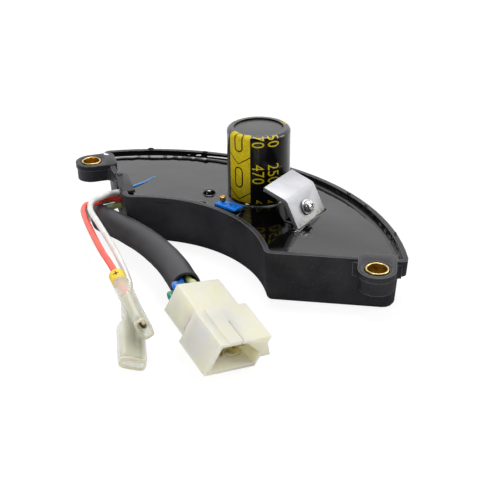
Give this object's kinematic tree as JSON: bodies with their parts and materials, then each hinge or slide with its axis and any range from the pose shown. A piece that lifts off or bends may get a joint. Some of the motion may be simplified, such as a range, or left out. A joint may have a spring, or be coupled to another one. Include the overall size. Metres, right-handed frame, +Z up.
{
  "type": "alternator voltage regulator",
  "caption": "Potted half-moon alternator voltage regulator with bolt ears, tall capacitor, heat-sink bracket, trimmer, sleeved harness with nylon connector, and leads with push-on terminals.",
  "frame": {"origin": "middle of the flat underside of the tray with its ears, without the loose leads", "axes": "+X from the left ear (wire exit) to the right ear, +Y towards the outer arc, +Z up out of the resin"},
  "size_m": [0.144, 0.1162, 0.0423],
  "materials": {
    "moulded_black": "satin moulded",
    "yellow_zinc": "yellow zinc plate",
    "board_green": "solder mask on glass fibre",
    "black_resin": "glossy potting resin",
    "aluminium": "satin",
    "film_black": "shrunk film",
    "disc_black": "smooth",
    "rubber_black": "matt",
    "tinned": "tinned",
    "bright_zinc": "bright zinc plate",
    "case_black": "moulded",
    "trimmer_blue": "satin",
    "brass": "turned",
    "film_green": "dipped",
    "insulation_blue": "extruded",
    "insulation_green": "extruded",
    "insulation_grey": "extruded",
    "insulation_yellow": "extruded",
    "insulation_red": "extruded",
    "insulation_white": "extruded",
    "sleeve_black": "soft satin",
    "natural_nylon": "translucent satin",
    "clear_sleeve": "clear soft sleeve",
    "marker_yellow": "smooth"
  },
  "bodies": {
    "regulator": {"housing": "moulded_black", "bush_left": "yellow_zinc", "bush_right": "yellow_zinc", "wire_exit_cover": "moulded_black", "circuit_board": "board_green", "potting_resin": "black_resin", "capacitor_can": "aluminium", "capacitor_sleeve": "film_black", "capacitor_top_disc": "disc_black", "capacitor_bung": "rubber_black", "capacitor_lead_1": "tinned", "capacitor_lead_2": "tinned", "heat_sink_bracket": "aluminium", "bracket_screw": "bright_zinc", "screw_washer": "bright_zinc", "bracket_nut": "bright_zinc", "power_transistor": "case_black", "trimmer_body": "trimmer_blue", "rectifier_bridge": "case_black", "control_chip": "case_black", "film_capacitor": "film_green", "blue_wire": "insulation_blue", "green_wire": "insulation_green", "grey_wire": "insulation_grey", "yellow_wire": "insulation_yellow", "red_lead": "insulation_red", "white_lead": "insulation_white", "harness_sleeve": "sleeve_black", "connector_shell": "natural_nylon", "contact_blade_1": "tinned", "contact_blade_2": "tinned", "contact_blade_3": "tinned", "contact_blade_4": "tinned", "red_terminal": "tinned", "white_terminal": "tinned", "red_terminal_sleeve": "clear_sleeve", "white_terminal_sleeve": "clear_sleeve", "lead_marker": "marker_yellow"},
    "trimmer_adjuster": {"trimmer_screw": "brass"}
  },
  "joints": [
    {"name": "trimmer_turn", "type": "hinge", "parent": "regulator", "child": "trimmer_adjuster", "pos_m": [-0.00285, -0.01006, 0.0189], "axis": [0, 0, 1], "continuous": true}
  ]
}
